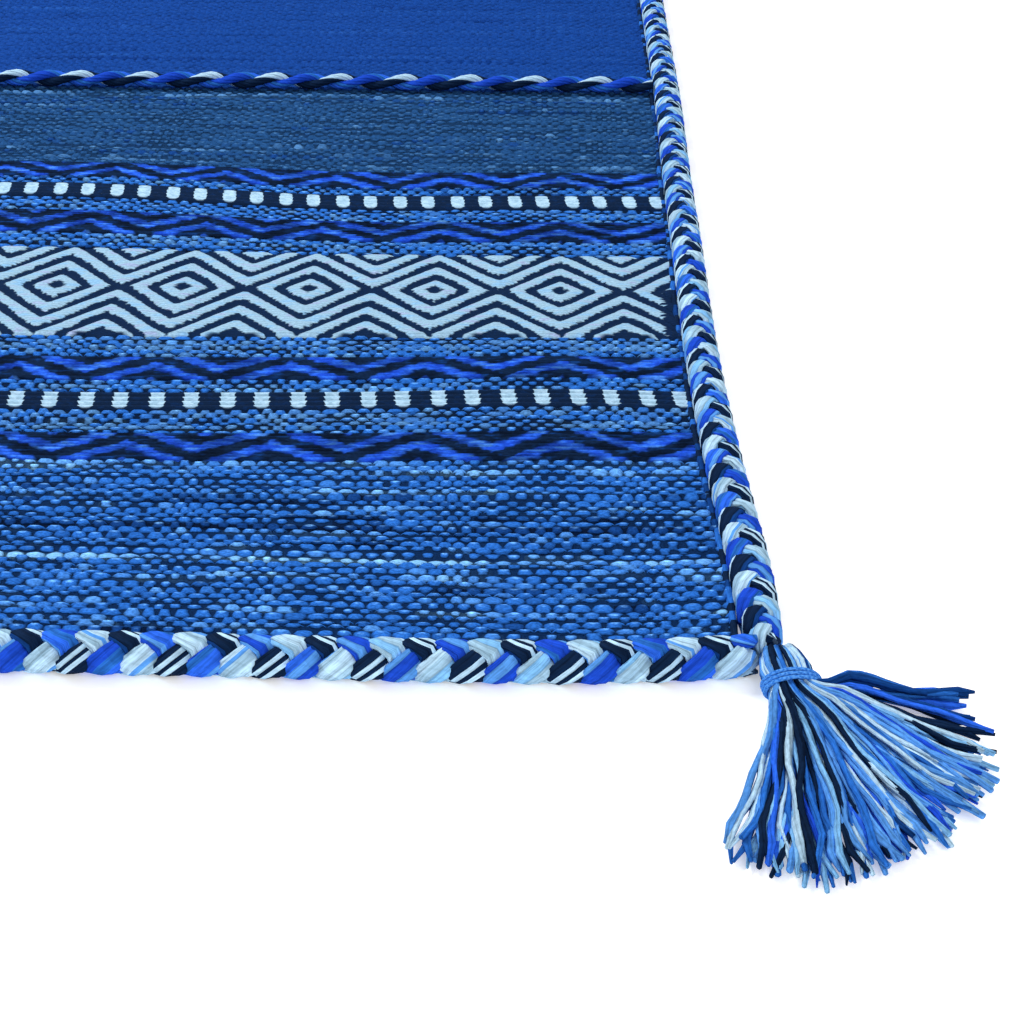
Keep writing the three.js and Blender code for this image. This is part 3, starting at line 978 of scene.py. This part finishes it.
def plait(side):
    along, outward, half, rim, black_at, leaning, gathers = PLAITS[side]
    along, outward = np.array([*along, 0.0]), np.array([*outward, 0.0])
    lean = np.radians(leaning)
    s = np.linspace(-half, half, int(round(2 * half * PLAIT_STEPS / PLAIT_PERIOD)) + 1)
    gather = gathers * np.clip(1 - (half - np.abs(s)) / 26, 0, 1) ** 1.5
    rounded_end = np.sqrt(1 - (np.clip(abs(s) - half + 4, 0, 4) / 4.2) ** 2)
    heap = Heap()
    for place, (name, colours) in enumerate(STRANDS.items()):
        t = 2 * np.pi * (s - black_at) / PLAIT_PERIOD + np.pi / 2 + place * 2 * np.pi / 3
        swing = PLAIT_SWING * (1 - 0.5 * gather) * (1 + 0.03 * np.sin(s / 53 + place))
        flat, over = swing * np.sin(t), -PLAIT_DIP * np.sin(2 * t)
        aside = flat * np.cos(lean) + over * np.sin(lean)
        above = over * np.cos(lean) - flat * np.sin(lean)
        path = s[:, None] * along + (rim - EDGING / 2 + 1.6 * gather + aside)[:, None] * outward
        path = path + (PLAIT_MIDDLE + above)[:, None] * UPWARD
        ahead = unit(np.gradient(path, axis=0))
        roll = (lean + PLAIT_ROLL * np.sin(t))[:, None]
        out = unit(np.cross(ahead, np.sin(roll) * outward + np.cos(roll) * UPWARD))
        plump = 1 + 0.05 * np.sin(s / 37 + place * 2.1) + 0.04 * np.sin(s / 13 + place)
        plump = plump * (1 - 0.15 * gather) * rounded_end
        section = (out, np.cross(out, ahead), STRAND_WIDE * plump, STRAND_TALL * plump)
        worn = 1 + 0.05 * chance.normal(0, 1, (len(s) - 1, 1, 1))
        turns = 0.05 * np.sin(s / 60 + place) + (0 if name == "black" else s / 190)
        row = (place / 4 + 0.01, (place + 1) / 4 - 0.01)
        shape = partial(pressed, outward=outward, middle=rim - EDGING / 2)
        lay_yarn(heap, path, section, 3, turns, colours[None] * worn, row, shape=shape)
    sew_on(heap, along, outward, half, rim)
    heap.piece(f"plait_{side}", [strand_finish], [f"braid_{side}"])


for side in PLAITS:
    plait(side)

# %% [markdown]
# The two cords across the rug have two plies laid round each other. One ply is part ice white and part
# black, and it turns once on itself for each turn of the cord, so its pale part always comes up on top. The
# other ply is blue, so the cord shows a row of pale dashes over black ones with blue between.
# %% Twist the cords
CORD_MIDDLE = HALF_LENGTH - 488.7
CORD_TURN = 32.3
CORD_STEPS = 14
CLOTH_TOP = 4.3
CORD_PALE_AT = 308.6
PLY = 2.2
PLY_OFF = 1.75
PLIES = {
    "pale": runs(("white", 5), ("black", 9)),
    "blue": runs(("royal", 3), ("mid", 2), ("cobalt", 3), ("mid", 2), ("royal", 4)),
}


def twist_cord(end, sign):
    half = HALF_WIDTH - EDGING - 2 * GAP
    s = np.linspace(-half, half, int(round(2 * half * CORD_STEPS / CORD_TURN)) + 1)
    heap = Heap()
    for ply, colours in enumerate(PLIES.values()):
        t = np.pi / 2 - 2 * np.pi * (s - CORD_PALE_AT) / CORD_TURN + ply * np.pi
        across = sign * CORD_MIDDLE + 1.3 * PLY_OFF * np.cos(t)
        path = np.stack([s, across, CLOTH_TOP + 0.95 * PLY + PLY_OFF * (1 + np.sin(t))], -1)
        slope = 1.3 * PLY_OFF * np.sin(t) * 2 * np.pi / CORD_TURN
        out = unit(np.stack([slope, -np.ones(len(s)), 0 * s], -1))
        size = PLY * (1 + 0.06 * np.sin(s / 17 + ply))
        section = (out, np.broadcast_to(UPWARD, path.shape), size * 1.15, size)
        turns = (t - np.pi / 2) / (2 * np.pi)
        row = (ply / 2 + 0.01, (ply + 1) / 2 - 0.01)
        lay_yarn(heap, path, section, 2, turns, colours[None], row)
    heap.piece(f"seam_cord_{end}", [strand_finish], [f"cord_{end}"])


twist_cord("front", -1)
twist_cord("back", 1)

# %% [markdown]
# A tassel is a bundle of yarns drawn together by a tie. Each yarn starts in the head, squeezes through the
# neck, then spreads into a fan and comes down to the floor. The fan's place of a yarn, its layer, its wave
# and its length all come from one seeded generator, so no two yarns match and every run is the same.
# %% Hang the tassels
# Head and neck sections: along the tassel, half width, lowest and highest
HEAD_SECTIONS = np.array(
    [
        (0.0, 5.4, 0.6, 9.4),
        (5.0, 7.2, 0.2, 10.4),
        (11.0, 8.3, 0.4, 10.4),
        (13.2, 7.6, 1.2, 9.8),
        (18.8, 7.8, 1.2, 9.8),
        (20.8, 9.0, 0.3, 10.0),
        (26.0, 12.4, 0.0, 8.8),
        (33.0, 16.4, 0.0, 6.6),
    ]
)
TASSEL_YARNS = 156
STRAY_YARNS = 12
YARN_HALF = 1.12
YARN_SIDES = 6
# How far from the neck each yarn's first rings lie, on the head's side of it and just past it
HEAD_REACHES = (-11.8, -8, -3, 1.5, 6.5)
FAN_FROM = 12.0
FAN_HALF_ANGLE = np.radians(39)
FAN_PILE = 7.2
FAN_DROP = 4.0
TIE_ALONG = 16.0
TASSEL_INSET = 2.5
HEAD_HALF = 5.6
# Each tassel: its corner's signs, its head's direction, its skirt's lean, and its lengths
TASSELS = {
    "front_right": (1, -1, -82, 13, 60, 80),
    "front_left": (-1, -1, -100, -17, 61, 78),
    "back_right": (1, 1, 79, -15, 60, 79),
    "back_left": (-1, 1, 98, 14, 59, 78),
}
YARN_MIX = {
    "mid": 0.22,
    "sky": 0.27,
    "aqua": 0.15,
    "white": 0.11,
    "cobalt": 0.06,
    "royal": 0.05,
    "navy": 0.06,
    "black": 0.08,
}
STRAY_DYES = ("navy", "mid", "black", "cobalt")
tassel_finish = yarn_finish("tassel_cotton", 3.0)


def hang_at(name):
    """The tassel's corner and its turn, as the frame has them."""
    across, along, heading = TASSELS[name][:3]
    turn = np.radians(heading)
    corner = np.array([across * (HALF_WIDTH - TASSEL_INSET), along * (HALF_LENGTH - TASSEL_LAP)])
    x, y = lay(*corner)
    return np.array([x, y + along * (HEAD_HALF * abs(np.cos(turn)) + GAP)]), turn


def smooth_share(value, low, high):
    share = np.clip((value - low) / (high - low), 0, 1)
    return share * share * (3 - 2 * share)


def turn_points(points, corner, turn):
    x = points[:, 0] * np.cos(turn) - points[:, 1] * np.sin(turn) + corner[0]
    y = points[:, 0] * np.sin(turn) + points[:, 1] * np.cos(turn) + corner[1]
    return np.stack([x, y, points[:, 2]], -1)


def head_path(reach, spread, layer):
    """The yarn's way through the head and the neck, kept inside their sections."""
    x = FAN_FROM + reach
    half, low, high = (np.interp(x, HEAD_SECTIONS[:, 0], HEAD_SECTIONS[:, k]) for k in (1, 2, 3))
    level = 2 * layer - 1
    chord = np.sqrt(max(0.05, 1 - (0.8 * level) ** 2))
    y = (half - YARN_HALF) * np.sin(np.clip(spread, -1, 1) * np.pi / 2) * chord
    z = (low + high) / 2 + (high - low - 2 * YARN_HALF) / 2 * level
    return np.stack([x, y, z], -1)


def fan_path(reach, spread, layer, length, lean):
    """The yarn's way over the floor: it sways more and more, and comes down as it goes."""
    wave = chance.uniform(0, 2 * np.pi, 3)
    swaying = 2.2 * np.sin(reach / 11 + wave[0]) + 1.1 * np.sin(reach / 4.5 + wave[1])
    sway = (np.maximum(reach, 0) / length) ** 1.5 * swaying
    bearing = lean + spread * FAN_HALF_ANGLE + sway / np.maximum(reach, 12) * (reach > 8)
    apart = smooth_share(-np.maximum(reach, 0) * np.sin(FAN_HALF_ANGLE), -20, 0)
    pile = FAN_PILE - FAN_DROP * smooth_share(reach, 14, 0.9 * length)
    lift = np.clip(0.6 * np.sin(reach / 6 + wave[2]), 0, 1) * (reach > 20)
    y = reach * np.sin(bearing) + 2.5 * spread * apart
    return np.stack([FAN_FROM + reach * np.cos(bearing), y, YARN_HALF + layer * pile + lift], -1)


def tassel(name):
    corner, turn = hang_at(name)
    degrees, short, long = TASSELS[name][3:]
    lean, side = np.radians(degrees), np.sign(degrees)
    heap = Heap()
    for i in range(TASSEL_YARNS):
        stray = i >= TASSEL_YARNS - STRAY_YARNS
        spread = side * chance.uniform(1.1, 1.75) if stray else chance.uniform(-1, 1)
        layer = chance.uniform(0, 1)
        length = short + (long - short) * (1 - abs(spread + side * 0.5) / 1.4) + chance.normal(0, 2.2)
        reach = np.concatenate([HEAD_REACHES, np.linspace(10, length, 10)])
        blend = smooth_share(FAN_FROM + reach, 17, 27)[:, None]
        path = head_path(reach, spread, layer) * (1 - blend)
        path = path + fan_path(reach, spread, layer, length, lean) * blend
        ahead = np.gradient(path, axis=0)
        out = unit(np.stack([ahead[:, 1], -ahead[:, 0], 0 * ahead[:, 0]], -1))
        thick = YARN_HALF * chance.uniform(0.75, 1.2) * np.ones(len(path))
        thick[-1] *= chance.uniform(0.3, 0.9)
        picked = chance.choice(list(YARN_MIX), p=list(YARN_MIX.values()))
        dye = DYES[STRAY_DYES[i % 4] if stray else picked] * chance.uniform(0.85, 1.12)
        dyes = np.clip(np.tile(dye, (1, YARN_SIDES, 1)), 0, 1)
        row = ((i + 0.1) / TASSEL_YARNS, (i + 0.9) / TASSEL_YARNS)
        out = turn_points(out, (0, 0), turn)
        section = (out, np.broadcast_to(UPWARD, path.shape), thick, thick)
        path = turn_points(path, corner, turn)
        lay_yarn(heap, path, section, 3, reach / 90, dyes, row, hollow=0.2, shape=as_drawn)
    heap.piece(f"skirt_{name}", [tassel_finish], [f"tassel_{name}"])


for name in TASSELS:
    tassel(name)

# %% [markdown]
# The tie is a few wraps of one soft yarn. Each wrap is a torus: added standing, pressed oval to the neck,
# set beside the last with a little slant, and the wraps are joined. The finish winds fibres round it.
# %% Wrap the ties
TIE_WRAPS = 3
TIE_YARN = 1.5
WRAP_SLANT = 5
NECK_HALF = 8.2
NECK_TALL = 4.6
NECK_MIDDLE = 5.75


def tie_finish():
    material, shader = new_finish("tie_cotton")
    place, along, around = read_map(shader, "UVMap")
    streak = fibres(place, 60.0, 7.0, 2.0)
    wound = (along * 26 + around * 2).off_middle() * 2
    dyed = choose(streak.between(0.35, 0.65), "mid", "sky")
    # Painted shade in the grooves between the wound fibres.
    plug(shaded(dyed, 1 - wound**4 * 0.2), shader, "Base Color")
    raise_by(shader, 0.7, 0.5, (1 - wound**2) * 0.4 + streak * 0.4)
    return material


tie_cotton = tie_finish()
for name in TASSELS:
    corner, turn = hang_at(name)
    bpy.ops.object.select_all(action="DESELECT")
    wraps = []
    for wrap in range(TIE_WRAPS):
        from_middle = wrap - (TIE_WRAPS - 1) / 2
        along = TIE_ALONG + from_middle * TIE_YARN
        middle = turn_points(np.array([[along, 0.0, NECK_MIDDLE]]), corner + np.array(SHIFT), turn)[0] * MM
        bpy.ops.mesh.primitive_torus_add(
            major_segments=48,
            minor_segments=10,
            major_radius=NECK_HALF * MM,
            minor_radius=TIE_YARN / 2 * MM,
            rotation=(np.radians(90 + WRAP_SLANT * from_middle), 0, turn + np.radians(90)),
            location=middle,
        )
        ring = bpy.context.object
        ring.scale = (1, NECK_TALL / NECK_HALF, 1)
        wraps.append(ring)
    for ring in wraps:
        ring.select_set(True)
    bpy.ops.object.transform_apply(location=True, rotation=True, scale=True)
    bpy.ops.object.join()
    tie = bpy.context.object
    tie.name = f"wraps_{name}"
    bpy.ops.object.shade_smooth()
    tie.data.materials.append(tie_cotton)
    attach(tie, "root")
    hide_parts(f"tassel_tie_{name}")
    print(tie.name, [round(d / MM, 1) for d in tie.dimensions])

meshes = [made.data for made in bpy.data.objects if made.type == "MESH"]
print("triangles in all:", sum(len(face.vertices) - 2 for mesh in meshes for face in mesh.polygons))
